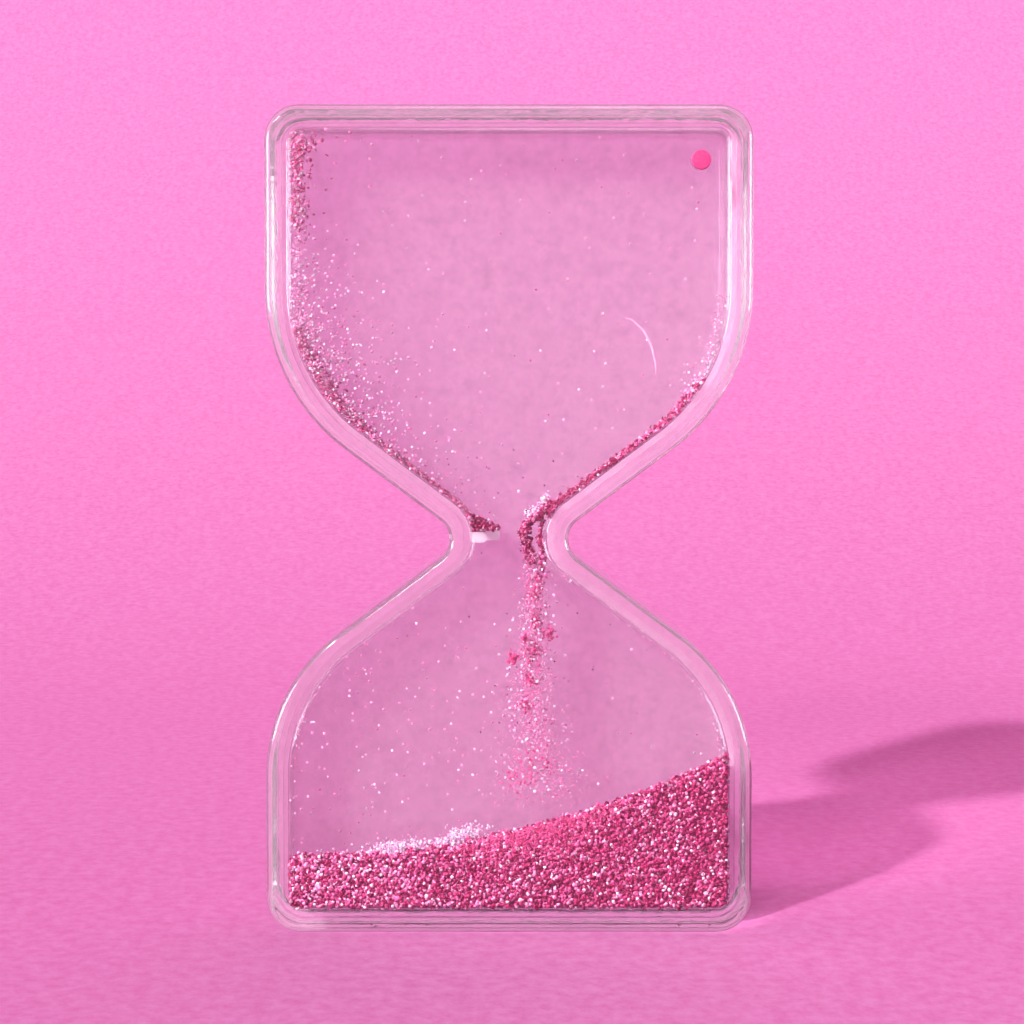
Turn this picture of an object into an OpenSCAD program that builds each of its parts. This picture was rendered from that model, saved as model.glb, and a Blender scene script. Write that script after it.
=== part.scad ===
// Flat liquid timer in the outline of an hourglass: two clear half shells welded
// round their rim, filled with clear liquid and glitter through a hole with a stopper.
// Millimetres. X is the width, Y the depth with the front at -Y, Z is up.
// The origin is the centre of the face that it stands on.

/* [Outline] */
// Width over the straight sides
body_w = 50; // [44:0.5:62]
// Depth from the front face to the back face
body_d = 14; // [12:0.5:20]
// Height of the upper bulb, from the middle of the neck to the top
upper_h = 44.4; // [40:0.1:56]
// Height of the lower bulb, from the middle of the neck to the base
lower_h = 40.6; // [38:0.1:52]
// Width over the outside of the neck
neck_w = 12.2; // [10:0.1:15]
// Radius of the outside of the neck
neck_r = 2.3; // [1.5:0.1:4]
// Radius of the upper bulb's shoulders
upper_shoulder_r = 20.6; // [16:0.1:23]
// Radius of the lower bulb's shoulders
lower_shoulder_r = 18.2; // [14:0.1:21]
// Radius of the four outer corners
corner_r = 3.6; // [3:0.1:5]

/* [Shells] */
// Thickness of the wall round the sides
wall_t = 2.2; // [1.5:0.05:2.4]
// Thickness of the front panel
front_panel_t = 1.5; // [1.2:0.1:2]
// Thickness of the back panel
back_panel_t = 1.5; // [1.2:0.1:2]
// Depth of the front shell, from its face to the seam
front_shell_d = 6; // [5:0.1:8]
// Width of the welding tongue on the back shell's rim
tongue_w = 0.6; // [0.4:0.05:0.8]
// Height of the welding tongue
tongue_h = 0.8; // [0.5:0.05:1.2]
// Clearance round the tongue in its groove
tongue_gap = 0.05; // [0.02:0.01:0.1]
// Diameter of the recesses left by the moulding gates
gate_d = 1.5; // [1:0.1:2]
// Depth of the gate recesses
gate_depth = 0.2; // [0.1:0.05:0.3]
// Distance of the gate recesses from the middle
gate_x = 13.4; // [8:0.1:18]

/* [Neck rib] */
// Thickness of the rib that narrows the neck
rib_t = 1.1; // [0.8:0.1:1.6]
// Height of the rib's middle above the middle of the neck
rib_rise = 0.15; // [0:0.05:0.5]
// Reach of the front shell's half of the rib, from the neck wall
front_rib_len = 1.5; // [1.2:0.1:2.6]
// Reach of the back shell's half of the rib
back_rib_len = 2.95; // [2.6:0.1:3.6]

/* [Stopper] */
// Diameter of the stopper
plug_d = 2; // [1.6:0.1:2.6]
// Clearance round the stopper in the fill hole
plug_gap = 0.03; // [0.01:0.01:0.08]
// Diameter of the shallow ring recess round the fill hole
ring_d = 2.9; // [2.7:0.1:3.6]
// Depth of the ring recess
ring_depth = 0.25; // [0.1:0.05:0.4]
// Distance of the stopper from the outside of the right wall
plug_inset_x = 5.4; // [4:0.1:8]
// Distance of the stopper from the top
plug_inset_z = 5.7; // [4:0.1:8]

/* [Glitter] */
// Height of the settled glitter at the left wall
bed_low = 8; // [5:0.1:12]
// Height of the settled glitter at the right wall
bed_high = 18.6; // [13:0.1:20]
// How late the settled surface rises, 1 for a straight ramp
bed_bend = 2.1; // [1:0.1:2.4]
// Gap between the top of the falling stream and the neck's right wall
stream_gap = 0.35; // [0.1:0.05:1]
// Width of the stream below the neck
stream_top_w = 2.4; // [1.6:0.1:3]
// Width of the stream at half of its fall
stream_mid_w = 4; // [3:0.1:5]
// Width of the stream where it lands
stream_foot_w = 9; // [7:0.1:10]
// Thickness of the layers that lie on the upper bulb's slopes
layer_t = 0.7; // [0.4:0.05:0.9]
// Thickness of the glitter caught in the upper left corner
corner_t = 1.4; // [0.8:0.1:1.6]
// Length of that glitter down the left wall
corner_run = 10; // [6:0.5:14]
// Length of that glitter along the top wall
corner_across = 3.5; // [2.5:0.1:6]
// How far the left slope's layer climbs above the neck
left_climb = 19; // [12:0.5:22]
// How far the right slope's layer climbs above the neck
right_climb = 16; // [10:0.5:20]
// Height of the pile on the neck rib
pile_h = 1.5; // [0.8:0.1:2]
// Thickness of the pale drifts on the settled glitter
drift_t = 0.9; // [0.5:0.1:1.4]
// Ends of the left drift along the width
left_drift = [-15.5, -10]; // [-20:0.5:0]
// Ends of the middle drift along the width
middle_drift = [-8, -2.5]; // [-12:0.5:2]
// Distance of the drifts from the front and back panels
drift_gap = 0.5; // [0:0.1:2]

/* [Hidden] */
$fn = 96;
// The bulbs' slopes climb 3 for every 4 across, so that every tangent point is a round number
slope_sin = 0.6;
slope_cos = 0.8;
half_w = body_w / 2;
body_h = upper_h + lower_h;
front_y = -body_d / 2;
back_y = body_d / 2;
seam_y = front_y + front_shell_d;
cavity_front = front_y + front_panel_t;
cavity_back = back_y - back_panel_t;
neck_half = neck_w / 2;
inner_neck = neck_half - wall_t;
plug_x = half_w - plug_inset_x;
plug_z = body_h - plug_inset_z;
plug_tip_gap = 0.1;
tongue_inset = (wall_t - tongue_w) / 2;
rib_low = lower_h + rib_rise - rib_t / 2;
rib_top = rib_low + rib_t;
rib_root = 0.9; // how far the rib runs into the wall, so that it is one piece with it
pile_top = rib_top + pile_h;
stream_top = lower_h + neck_r;
stream_x = inner_neck - stream_gap - stream_top_w / 2;
stream_y = (cavity_front + cavity_back) / 2;
past = 0.5; // how far a cutter runs past what it cuts
bed_steps = 24;
drift_steps = 10;

clear_plastic = [0.96, 0.88, 0.94, 0.35];
clear_fill = [0.94, 0.78, 0.88, 0.25];
plug_pink = [0.95, 0.3, 0.55];
glitter_pink = [0.8, 0.25, 0.48];
glitter_pale = [0.93, 0.8, 0.95];

// Middle of a shoulder's arc, measured from the middle of the neck. The slope is the
// line that touches both the neck's arc and the shoulder's arc.
function shoulder_centre(r) =
    let (run = half_w - neck_half - (r + neck_r) * (1 - slope_sin))
    [half_w - r, (neck_r + r) * slope_cos + run * slope_sin / slope_cos];

// Height of the settled surface at x, a ramp that starts flat at the left wall
function bed_z(x) =
    bed_low + (bed_high - bed_low) * pow(max(0, (x + half_w - wall_t) / (body_w - 2 * wall_t)), bed_bend);

// The part of a shoulder's disc that its arc needs, with some to spare at both ends
module shoulder_sector(centre, r) {
    reach = 2 * r;
    intersection() {
        translate(centre) circle(r);
        polygon([centre, centre + reach * [0.3, -1], centre + reach * [1, -1], centre + reach * [1, 0.3]]);
    }
}

// Both sides of one bulb from the middle of the neck up, moved inwards by inset
module bulb(h, shoulder_r, inset) {
    side = half_w - inset;
    end = h - inset;
    neck_c = [neck_half + neck_r, 0];
    out = [slope_sin, -slope_cos];
    foot = neck_c - (neck_r + inset) * out;
    shoulder_c = shoulder_centre(shoulder_r);
    brow = shoulder_c + (shoulder_r - inset) * out;
    corner_c = [min(half_w - corner_r, side), min(h - corner_r, end)];
    difference() {
        polygon([[-neck_c.x, 0], neck_c, foot, [-foot.x, foot.y]]);
        for (flip = [0, 1]) mirror([flip, 0]) translate(neck_c) circle(neck_r + inset);
    }
    for (flip = [0, 1]) mirror([flip, 0]) {
        shoulder_sector(shoulder_c, shoulder_r - inset);
        if (corner_r > inset) translate(corner_c) circle(corner_r - inset);
    }
    polygon([[-foot.x, foot.y], foot, brow, shoulder_c,
             [-shoulder_c.x, shoulder_c.y], [-brow.x, brow.y]]);
    polygon([[-side, shoulder_c.y], [side, shoulder_c.y], [side, corner_c.y], corner_c,
             [corner_c.x, end], [-corner_c.x, end], [-corner_c.x, corner_c.y],
             [-side, corner_c.y]]);
}

// The timer's outline in the X-Z plane, moved inwards by inset
module outline(inset) {
    translate([0, lower_h]) {
        bulb(upper_h, upper_shoulder_r, inset);
        mirror([0, 1]) bulb(lower_h, lower_shoulder_r, inset);
    }
}

// Carries a flat X-Z shape through the depth from y0 to y1
module slab(y0, y1) {
    translate([0, y1, 0]) rotate([90, 0, 0]) linear_extrude(y1 - y0) children();
}

// Half of the neck rib, from inside the left wall out to reach
module rib(reach, y0, y1) {
    translate([-inner_neck - rib_root, y0, rib_low]) cube([rib_root + reach, y1 - y0, rib_t]);
}

// Hole or stopper along the depth at the fill position
module along_fill(r, y0, y1) {
    translate([plug_x, y1, plug_z]) rotate([90, 0, 0]) cylinder(h = y1 - y0, r = r);
}

// Recess of a moulding gate in the wall at height z
module gate(z) {
    translate([-gate_x, (front_y + seam_y) / 2, z - gate_depth]) cylinder(h = 2 * gate_depth, d = gate_d);
}

// Clear front half: panel, half of the side wall, groove, half rib and fill hole
module front_shell() {
    groove_w = tongue_w + 2 * tongue_gap;
    groove_inset = (wall_t - groove_w) / 2;
    color(clear_plastic) difference() {
        union() {
            difference() {
                slab(front_y, seam_y) outline(0);
                slab(cavity_front, seam_y + past) outline(wall_t);
            }
            rib(front_rib_len, cavity_front - past, seam_y);
        }
        difference() {
            slab(seam_y - tongue_h - tongue_gap, seam_y + past) outline(groove_inset);
            slab(seam_y - tongue_h - past, seam_y + 2 * past) outline(groove_inset + groove_w);
        }
        along_fill(plug_d / 2 + plug_gap, front_y - past, cavity_front + past);
        along_fill(ring_d / 2, front_y - past, front_y + ring_depth);
        gate(body_h);
        gate(0);
    }
}

// Clear back half: panel, half of the side wall, tongue and half rib
module back_shell() {
    color(clear_plastic) {
        difference() {
            slab(seam_y, back_y) outline(0);
            slab(seam_y - past, cavity_back) outline(wall_t);
        }
        difference() {
            slab(seam_y - tongue_h, seam_y + past) outline(tongue_inset);
            slab(seam_y - tongue_h - past, seam_y + 2 * past) outline(tongue_inset + tongue_w);
        }
        rib(back_rib_len, seam_y, cavity_back + past);
    }
}

// Stopper in the fill hole, its face level with the floor of the ring recess
module fill_plug() {
    color(plug_pink) along_fill(plug_d / 2, front_y, cavity_front - plug_tip_gap);
}

// Everything below the settled surface
module below_bed() {
    left = -half_w - past;
    width = body_w + 2 * past;
    top = [for (i = [0:bed_steps]) let (x = left + width * i / bed_steps) [x, bed_z(x)]];
    polygon(concat([[left, -past]], top, [[left + width, -past]]));
}

// A band along the inside of the wall, thickness deep, between two heights on one side
module wall_band(thickness, side, low, high) {
    intersection() {
        difference() {
            outline(wall_t - past);
            outline(wall_t + thickness);
        }
        translate([side > 0 ? 0 : -half_w, low]) square([half_w, high - low]);
    }
}

// The upper bulb's left slope, from the pile on the rib up to its shoulder
module left_slope() {
    wall_band(layer_t, -1, pile_top, lower_h + left_climb);
}

// The upper bulb's right slope, down to where the stream leaves it
module right_slope() {
    wall_band(layer_t, 1, stream_top, lower_h + right_climb);
}

// The corner at the top of the left wall
module left_corner() {
    low = body_h - wall_t - corner_run;
    intersection() {
        wall_band(corner_t, -1, low, body_h);
        translate([-half_w, low]) square([wall_t + corner_across, body_h - low]);
    }
}

// Wedge that lies on the rib, against the left wall
module rib_pile() {
    polygon([[-inner_neck - rib_root, rib_top], [-inner_neck + back_rib_len, rib_top],
             [-inner_neck + front_rib_len / 2, pile_top], [-inner_neck - rib_root, pile_top]]);
}

// Low drift on the settled surface between two ends, a half wave high in its middle
module drift(ends) {
    x = [for (i = [0:drift_steps]) ends[0] + (ends[1] - ends[0]) * i / drift_steps];
    over = [for (i = [0:drift_steps]) [x[i], bed_z(x[i]) + drift_t * sin(180 * i / drift_steps)]];
    under = [for (i = [drift_steps:-1:0]) [x[i], bed_z(x[i]) - past]];
    polygon(concat(over, under));
}

// Both drifts, short of the front panel and the back panel
module drifts() {
    slab(cavity_front + drift_gap, cavity_back - drift_gap) {
        drift(left_drift);
        drift(middle_drift);
    }
}

// Round falling stream, which leaves along the neck's right wall and widens as it falls
module stream() {
    landing = bed_z(stream_x - stream_foot_w / 2) - past;
    middle = (stream_top + bed_z(stream_x)) / 2;
    translate([stream_x, stream_y, 0]) rotate_extrude()
        polygon([[0, landing], [stream_foot_w / 2, landing], [stream_foot_w / 2, bed_z(stream_x)],
                 [stream_mid_w / 2, middle], [stream_top_w / 2, stream_top], [0, stream_top]]);
}

// Everything that lies in the cavity as glitter, before it is fitted to the cavity
module all_glitter() {
    slab(cavity_front - past, cavity_back + past) {
        below_bed();
        left_slope();
        right_slope();
        left_corner();
    }
    slab(seam_y, cavity_back + past) rib_pile();
    drifts();
    stream();
}

// The clear liquid, which fills what the glitter and the rib leave of the cavity
module clear_liquid() {
    color(clear_fill) difference() {
        slab(cavity_front, cavity_back) outline(wall_t);
        rib(front_rib_len, cavity_front - past, seam_y);
        rib(back_rib_len, seam_y, cavity_back + past);
        all_glitter();
    }
}

// Settled glitter in the lower bulb
module glitter_bed() {
    color(glitter_pink) slab(cavity_front, cavity_back) intersection() {
        outline(wall_t);
        below_bed();
    }
}

// Glitter falling from the neck onto the bed
module glitter_stream() {
    color(glitter_pink) difference() {
        intersection() {
            stream();
            slab(cavity_front, cavity_back) outline(wall_t);
        }
        slab(cavity_front - past, cavity_back + past) below_bed();
    }
}

// Glitter lying on the left slope above the neck
module left_slope_glitter() {
    color(glitter_pink) slab(cavity_front, cavity_back) intersection() {
        outline(wall_t);
        left_slope();
    }
}

// Glitter sliding down the right slope to the neck
module right_slope_glitter() {
    color(glitter_pink) slab(cavity_front, cavity_back) intersection() {
        outline(wall_t);
        right_slope();
    }
}

// Small pile that the rib holds back
module rib_glitter() {
    color(glitter_pink) slab(seam_y, cavity_back) intersection() {
        outline(wall_t);
        rib_pile();
    }
}

// Glitter that clings in the upper left corner
module corner_glitter() {
    color(glitter_pink) slab(cavity_front, cavity_back) intersection() {
        outline(wall_t);
        left_corner();
    }
}

// Pale drifts of the finest flakes on the settled surface
module pale_glitter() {
    color(glitter_pale) difference() {
        drifts();
        slab(cavity_front - past, cavity_back + past) below_bed();
        stream();
    }
}

front_shell();
back_shell();
fill_plug();
clear_liquid();
glitter_bed();
glitter_stream();
left_slope_glitter();
right_slope_glitter();
rib_glitter();
corner_glitter();
pale_glitter();
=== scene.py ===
import math

import bmesh
import bpy
import numpy as np
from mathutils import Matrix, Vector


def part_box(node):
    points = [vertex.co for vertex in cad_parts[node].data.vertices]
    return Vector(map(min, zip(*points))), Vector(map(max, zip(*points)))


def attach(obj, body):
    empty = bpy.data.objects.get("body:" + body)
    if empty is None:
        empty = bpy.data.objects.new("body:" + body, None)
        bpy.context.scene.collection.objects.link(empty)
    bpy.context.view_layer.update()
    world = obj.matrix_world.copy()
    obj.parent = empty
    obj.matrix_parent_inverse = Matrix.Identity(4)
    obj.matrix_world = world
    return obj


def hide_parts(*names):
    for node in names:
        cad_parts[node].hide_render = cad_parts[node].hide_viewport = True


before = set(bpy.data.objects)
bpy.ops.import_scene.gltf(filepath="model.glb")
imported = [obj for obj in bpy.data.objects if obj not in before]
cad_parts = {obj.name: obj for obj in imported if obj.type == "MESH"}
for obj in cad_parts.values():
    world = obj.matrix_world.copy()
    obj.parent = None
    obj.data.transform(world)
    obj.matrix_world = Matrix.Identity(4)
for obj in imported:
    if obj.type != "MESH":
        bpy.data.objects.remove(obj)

scene = bpy.context.scene
scene.view_settings.view_transform = "Standard"
scene.cycles.max_bounces = 40        # light runs a long way along the clear walls before it leaves them
scene.cycles.transmission_bounces = 40
scene.cycles.glossy_bounces = 16
scene.cycles.transparent_max_bounces = 32
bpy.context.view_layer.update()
mm = 0.001

# ---------------------------------------------------------------- sizes read from the frame
frontLow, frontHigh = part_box("front_shell")
backLow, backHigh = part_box("back_shell")
fillLow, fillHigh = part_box("clear_liquid")
plugLow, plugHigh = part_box("fill_plug")
bedLow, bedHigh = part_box("glitter_bed")

caseShape = {
    "halfWidth": frontHigh.x,
    "height": frontHigh.z,
    "frontY": frontLow.y,
    "seamY": frontHigh.y,
    "backY": backHigh.y,
    "wall": frontHigh.x - fillHigh.x,
    "cavityFrontY": fillLow.y,
    "cavityBackY": fillHigh.y,
    "neckZ": 40.6 * mm,
    "neckHalf": 6.1 * mm,
    "neckRadius": 2.3 * mm,
    "upperShoulder": 20.6 * mm,
    "lowerShoulder": 18.2 * mm,
    "cornerRadius": 3.6 * mm,
    "edgeRadius": 0.75 * mm,    # rounding of the outer edges
    "rimRadius": 0.12 * mm,     # rounding beside the weld
    "weldGap": 0.03 * mm,       # the seam that shows round the sides
    "weldReach": 0.2 * mm,      # the plastic is satin this near to the seam
    "grooveWidth": 0.7 * mm,    # the back shell's tongue lies in the front shell's groove
    "grooveDepth": 0.85 * mm,
    "tongueGap": 0.05 * mm,
    "cavityRadius": 0.55 * mm,  # rounding in the cavity's inner corners
}
print("case %.1f x %.1f mm" % (2000 * caseShape["halfWidth"], 1000 * caseShape["height"]))


# ---------------------------------------------------------------- outline
def arcPoints(centre, radius, start, end, steps):
    # centre + radius * (cos a, sin a) for a from start to end, without the last point
    a = np.radians(np.linspace(start, end, steps + 1))[:-1]
    turned = np.stack([np.cos(a), np.sin(a)], 1)
    return np.array(centre) + radius * turned, turned


def linePoints(start, end, steps):
    # start + t * (end - start) for t from 0 to 1, without the last point; its normal is on the right
    t = np.linspace(0, 1, steps + 1)[:-1, None]
    start, end = np.array(start), np.array(end)
    along = (end - start) / np.linalg.norm(end - start)
    return start + t * (end - start), np.repeat([[along[1], -along[0]]], steps, 0)


def sideOutline(shape):
    # the right side from the base to the top: corner, wall, shoulder, slope, neck and back out again,
    # each arc touching the next line, with a slope that climbs 3 for every 4 across
    w, h, rc = shape["halfWidth"], shape["height"], shape["cornerRadius"]
    nz, rn = shape["neckZ"], shape["neckRadius"]
    neck = (shape["neckHalf"] + rn, nz)
    run = [w - shape["neckHalf"] - (r + rn) * 0.4 for r in (shape["lowerShoulder"], shape["upperShoulder"])]
    low = (w - shape["lowerShoulder"], nz - (rn + shape["lowerShoulder"]) * 0.8 - run[0] * 0.75)
    high = (w - shape["upperShoulder"], nz + (rn + shape["upperShoulder"]) * 0.8 + run[1] * 0.75)
    slope = math.degrees(math.atan2(0.8, 0.6))
    pieces = [arcPoints((w - rc, rc), rc, -90, 0, 10), linePoints((w, rc), (w, low[1]), 6)]
    lowArc = arcPoints(low, shape["lowerShoulder"], 0, slope, 22)
    highArc = arcPoints(high, shape["upperShoulder"], -slope, 0, 22)
    neckArc, inward = arcPoints(neck, rn, 180 + slope, 180 - slope, 24)
    lowEnd = (low[0] + shape["lowerShoulder"] * 0.6, low[1] + shape["lowerShoulder"] * 0.8)
    highStart = (high[0] + shape["upperShoulder"] * 0.6, high[1] - shape["upperShoulder"] * 0.8)
    lowFoot = (neck[0] - rn * 0.6, nz - rn * 0.8)
    highFoot = (neck[0] - rn * 0.6, nz + rn * 0.8)
    pieces += [lowArc, linePoints(lowEnd, lowFoot, 8), (neckArc, -inward)]
    pieces += [linePoints(highFoot, highStart, 8), highArc, linePoints((w, high[1]), (w, h - rc), 6)]
    pieces += [arcPoints((w - rc, h - rc), rc, 0, 90, 10), (np.array([[w - rc, h]]), np.array([[0.0, 1.0]]))]
    points = np.concatenate([p for p, _ in pieces])
    normals = np.concatenate([n for _, n in pieces])
    return points, normals


sidePoints, sideNormals = sideOutline(caseShape)
acrossSteps = 24


def outlineLoop(inset):
    # once round the outline, moved inwards along its own normals: base, right side, top, left side
    side = sidePoints - inset * sideNormals
    u = np.linspace(-1, 1, acrossSteps + 1)[1:-1]
    base = np.stack([u * side[0, 0], np.full(len(u), side[0, 1])], 1)
    top = np.stack([-u * side[-1, 0], np.full(len(u), side[-1, 1])], 1)
    left = side[::-1] * [-1, 1]
    return np.concatenate([base, side, top, left])


def panelGrid(inset):
    # u times the half width at each height, so that its edge is the outline's loop
    side = sidePoints - inset * sideNormals
    u = np.linspace(-1, 1, acrossSteps + 1)
    return np.stack([u[None, :] * side[:, :1], np.repeat(side[:, 1:], len(u), 1)], 2)


def insideDistance(x, z, inset=0.0):
    # shortest distance from each point to the outline, negative outside it
    side = sidePoints - inset * sideNormals
    halfWidth = np.interp(z, side[:, 1], side[:, 0])
    fine = np.linspace(0, len(side) - 1, 900)
    at = np.arange(len(side))
    edge = np.stack([np.interp(fine, at, side[:, 0]), np.interp(fine, at, side[:, 1])], 1)
    gap = np.empty(len(x))
    for chunk in np.array_split(np.arange(len(x)), max(1, len(x) // 4000)):
        d = np.hypot(np.abs(x[chunk])[:, None] - edge[:, 0], z[chunk][:, None] - edge[:, 1])
        gap[chunk] = d.min(1)
    gap = np.minimum(gap, np.minimum(z - side[0, 1], side[-1, 1] - z))
    within = (np.abs(x) < halfWidth) & (z > side[0, 1]) & (z < side[-1, 1])
    return np.where(within, np.abs(gap), -np.abs(gap))


# ---------------------------------------------------------------- mesh making
def gridQuads(rows, columns, wrap=False, start=0):
    # the four corners of each cell of a grid of numbered points
    r = np.arange(rows - 1)[:, None]
    c = np.arange(columns if wrap else columns - 1)[None, :]
    n = (c + 1) % columns
    cells = np.stack([r * columns + c, r * columns + n, (r + 1) * columns + n, (r + 1) * columns + c], -1)
    return (cells + start).reshape(-1, 4)


def meshPiece(name, parts, material, smoothAngle=35, weld=1e-7):
    # parts is a list of (points, quads); they are joined, welded and turned to face outwards
    points = np.concatenate([p.reshape(-1, 3) for p, _ in parts])
    starts = np.cumsum([0] + [p.size // 3 for p, _ in parts])
    quads = np.concatenate([q + s for (_, q), s in zip(parts, starts)])
    mesh = bpy.data.meshes.new(name)
    mesh.from_pydata(points.tolist(), [], quads.tolist())
    bm = bmesh.new()
    bm.from_mesh(mesh)
    bmesh.ops.remove_doubles(bm, verts=bm.verts, dist=weld)
    bmesh.ops.dissolve_degenerate(bm, edges=bm.edges, dist=weld)
    bmesh.ops.recalc_face_normals(bm, faces=bm.faces)
    bm.to_mesh(mesh)
    bm.free()
    mesh.polygons.foreach_set("use_smooth", [True] * len(mesh.polygons))
    mesh.set_sharp_from_angle(angle=math.radians(smoothAngle))
    mesh.materials.append(material)
    piece = bpy.data.objects.new(name, mesh)
    scene.collection.objects.link(piece)
    return piece


def sweepProfile(profile):
    # each profile point is (inset, y): the outline's loop moved inwards by inset, at depth y
    loops = [np.insert(outlineLoop(inset), 1, y, 1) for inset, y in profile]
    grid = np.stack(loops)
    return grid, gridQuads(len(profile), grid.shape[1], wrap=True)


def flatPanel(inset, y):
    grid = np.insert(panelGrid(inset), 1, y, 2)
    return grid, gridQuads(grid.shape[0], grid.shape[1])


def roundCorner(centre, radius, start, end, steps=7):
    # centre + radius * (cos a, sin a), both ends kept
    a = np.radians(np.linspace(start, end, steps))
    return [(centre[0] + radius * math.cos(x), centre[1] + radius * math.sin(x)) for x in a]


def lathePart(profile, centre, steps=48):
    # profile points (radius, y) turned round the Y direction through centre
    a = np.linspace(0, 2 * math.pi, steps, endpoint=False)
    r, y = np.array(profile).T
    grid = np.stack([centre[0] + r[:, None] * np.cos(a), np.repeat(y[:, None], steps, 1),
                     centre[1] + r[:, None] * np.sin(a)], -1)
    return grid, gridQuads(len(profile), steps, wrap=True)


def carve(piece, tool, operation):
    # joins or cuts with an exact boolean and drops the tool
    cut = piece.modifiers.new(operation, "BOOLEAN")
    cut.object, cut.operation, cut.solver, cut.material_mode = tool, operation, "EXACT", "TRANSFER"
    bpy.context.view_layer.update()
    result = bpy.data.meshes.new_from_object(piece.evaluated_get(bpy.context.evaluated_depsgraph_get()))
    piece.modifiers.clear()
    old, piece.data = piece.data, result
    bpy.data.meshes.remove(old)
    bpy.data.objects.remove(tool)
    result.set_sharp_from_angle(angle=math.radians(35))


# ---------------------------------------------------------------- materials
def newMaterial(name):
    material = bpy.data.materials.new(name)
    material.use_nodes = True
    nodes = material.node_tree.nodes
    return material, nodes, material.node_tree.links, nodes["Principled BSDF"]


def mouldedSurfaceGroup():
    # slow waves left by moulding, plus fine rubbing marks: height for a bump and a mask for roughness
    group = bpy.data.node_groups.new("mouldedSurface", "ShaderNodeTree")
    face = group.interface
    face.new_socket("Wave Scale", in_out="INPUT", socket_type="NodeSocketFloat").default_value = 120
    face.new_socket("Rub Scale", in_out="INPUT", socket_type="NodeSocketFloat").default_value = 900
    face.new_socket("Rub Share", in_out="INPUT", socket_type="NodeSocketFloat").default_value = 0.2
    face.new_socket("Height", in_out="OUTPUT", socket_type="NodeSocketFloat")
    face.new_socket("Rubbed", in_out="OUTPUT", socket_type="NodeSocketFloat")
    nodes, links = group.nodes, group.links
    given, out = nodes.new("NodeGroupInput"), nodes.new("NodeGroupOutput")
    place = nodes.new("ShaderNodeTexCoord")
    wave = nodes.new("ShaderNodeTexNoise")
    wave.inputs["Detail"].default_value = 1.0
    rub = nodes.new("ShaderNodeTexNoise")
    rub.inputs["Detail"].default_value = 3.0
    links.new(place.outputs["Object"], wave.inputs["Vector"])
    links.new(place.outputs["Object"], rub.inputs["Vector"])
    links.new(given.outputs["Wave Scale"], wave.inputs["Scale"])
    links.new(given.outputs["Rub Scale"], rub.inputs["Scale"])
    share = nodes.new("ShaderNodeMath")
    share.operation = "MULTIPLY_ADD"
    links.new(rub.outputs["Fac"], share.inputs[0])
    links.new(given.outputs["Rub Share"], share.inputs[1])
    links.new(wave.outputs["Fac"], share.inputs[2])
    links.new(share.outputs[0], out.inputs["Height"])
    sharpen = nodes.new("ShaderNodeMapRange")
    sharpen.inputs["From Min"].default_value = 0.45
    sharpen.inputs["From Max"].default_value = 0.75
    links.new(rub.outputs["Fac"], sharpen.inputs["Value"])
    links.new(sharpen.outputs["Result"], out.inputs["Rubbed"])
    return group


mouldedSurface = mouldedSurfaceGroup()


def clearMaterial(name, look):
    # smooth clear glass-like surface; lamps shine through it with the tint of its shadow
    material, nodes, links, shader = newMaterial(name)
    surface = nodes.new("ShaderNodeGroup")
    surface.node_tree = mouldedSurface
    surface.inputs["Wave Scale"].default_value = look["waveScale"]
    surface.inputs["Rub Scale"].default_value = look["rubScale"]
    surface.inputs["Rub Share"].default_value = look["rubShare"]
    bump = nodes.new("ShaderNodeBump")
    bump.inputs["Strength"].default_value = look["bumpStrength"]
    bump.inputs["Distance"].default_value = look["bumpDistance"]
    links.new(surface.outputs["Height"], bump.inputs["Height"])
    links.new(bump.outputs["Normal"], shader.inputs["Normal"])
    rough = nodes.new("ShaderNodeMapRange")
    rough.inputs["To Min"].default_value = look["smooth"]
    rough.inputs["To Max"].default_value = look["rubbed"]
    links.new(surface.outputs["Rubbed"], rough.inputs["Value"])
    links.new(rough.outputs["Result"], shader.inputs["Roughness"])
    tone = nodes.new("ShaderNodeMix")
    tone.data_type = "RGBA"
    tone.inputs["A"].default_value = (*look["colour"], 1)
    tone.inputs["B"].default_value = (*look["cloudColour"], 1)
    links.new(surface.outputs["Rubbed"], tone.inputs["Factor"])
    links.new(tone.outputs["Result"], shader.inputs["Base Color"])
    shader.inputs["Transmission Weight"].default_value = look["clear"]
    shader.inputs["IOR"].default_value = look["ior"]
    path = nodes.new("ShaderNodeLightPath")
    through = nodes.new("ShaderNodeBsdfTransparent")
    through.inputs["Color"].default_value = (*look["shadowColour"], 1)
    either = nodes.new("ShaderNodeMixShader")
    links.new(path.outputs["Is Shadow Ray"], either.inputs["Fac"])
    links.new(shader.outputs[0], either.inputs[1])
    links.new(through.outputs[0], either.inputs[2])
    links.new(either.outputs[0], nodes["Material Output"].inputs["Surface"])
    return material


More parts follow.
